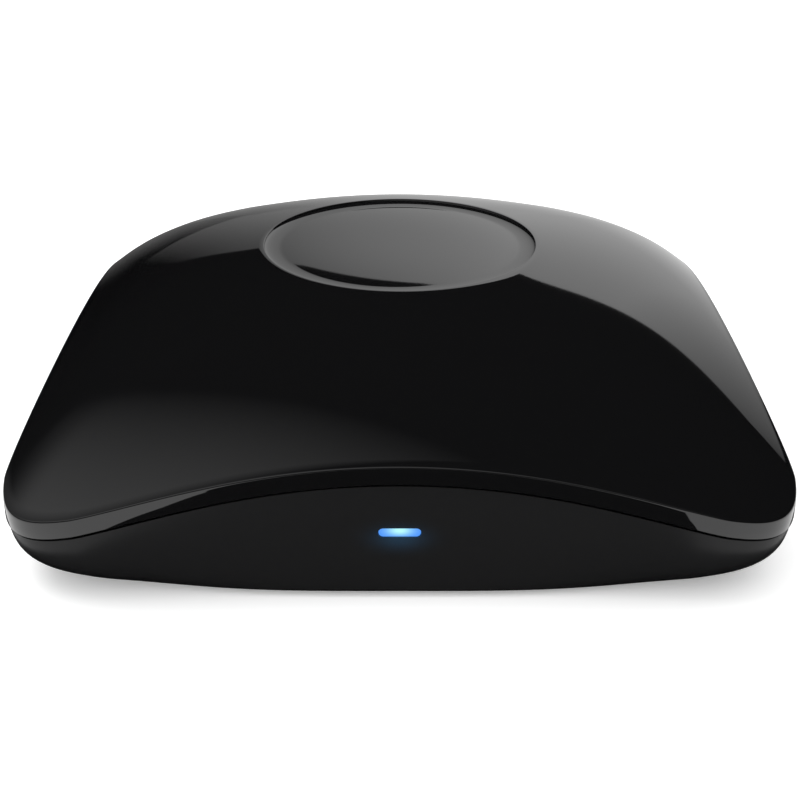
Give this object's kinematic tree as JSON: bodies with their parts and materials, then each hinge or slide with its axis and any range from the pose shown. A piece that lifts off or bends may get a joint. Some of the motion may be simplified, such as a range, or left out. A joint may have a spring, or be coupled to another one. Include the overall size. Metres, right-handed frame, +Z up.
{
  "type": "smart infrared hub",
  "caption": "Glossy black square tabletop infrared remote hub: draped cover with a shallow dish on top, bowl-shaped base, status light slot in front, power inlet and reset button behind.",
  "frame": {"origin": "centre of the footprint at table level, under the rubber feet", "axes": "+Z up, -Y is the front with the status light, +Y the back with the power inlet, +X to the right seen from the front"},
  "size_m": [0.12, 0.12, 0.036],
  "materials": {
    "gloss_cover": "high gloss piano black",
    "gloss_base": "gloss black",
    "clear_light": "clear, lit cyan",
    "foot_rubber": "matt",
    "screw_steel": "plated",
    "board_green": "solder mask",
    "led_white": "matt",
    "smoked_lens": "smoked clear epoxy",
    "dark_epoxy": "dark infrared-pass epoxy",
    "board_blue": "solder mask",
    "bright_can": "tinned",
    "ceramic": "ceramic",
    "black_plastic": "satin",
    "switch_housing": "satin",
    "chip_epoxy": "matt moulded",
    "capacitor_sleeve": "shrink sleeve",
    "ferrite": "matt ferrite"
  },
  "bodies": {
    "hub": {"top_cover": "gloss_cover", "base_shell": "gloss_base", "light_pipe": "clear_light", "rubber_foot_1": "foot_rubber", "rubber_foot_2": "foot_rubber", "rubber_foot_3": "foot_rubber", "rubber_foot_4": "foot_rubber", "case_screws": "screw_steel", "board_screws": "screw_steel", "main_board": "board_green", "status_led": "led_white", "ir_emitter_1": "smoked_lens", "ir_emitter_2": "smoked_lens", "ir_emitter_3": "smoked_lens", "ir_emitter_4": "smoked_lens", "ir_emitter_5": "smoked_lens", "ir_emitter_6": "smoked_lens", "ir_emitter_7": "smoked_lens", "ir_receiver": "dark_epoxy", "wifi_board": "board_blue", "wifi_shield_can": "bright_can", "clock_crystal": "bright_can", "power_inlet_shell": "bright_can", "wifi_antenna": "ceramic", "power_inlet_tongue": "black_plastic", "reset_switch_body": "switch_housing", "control_chip": "chip_epoxy", "voltage_regulator": "chip_epoxy", "driver_transistors": "chip_epoxy", "emitter_resistors": "chip_epoxy", "filter_capacitor": "capacitor_sleeve", "power_inductor": "ferrite"},
    "button": {"reset_button": "black_plastic", "reset_switch_plunger": "black_plastic"}
  },
  "joints": [
    {"name": "reset_press", "type": "slide", "parent": "hub", "child": "button", "axis": [0, -1, 0], "range_m": [0, 0.0004], "stiffness_N_per_m": 500}
  ]
}
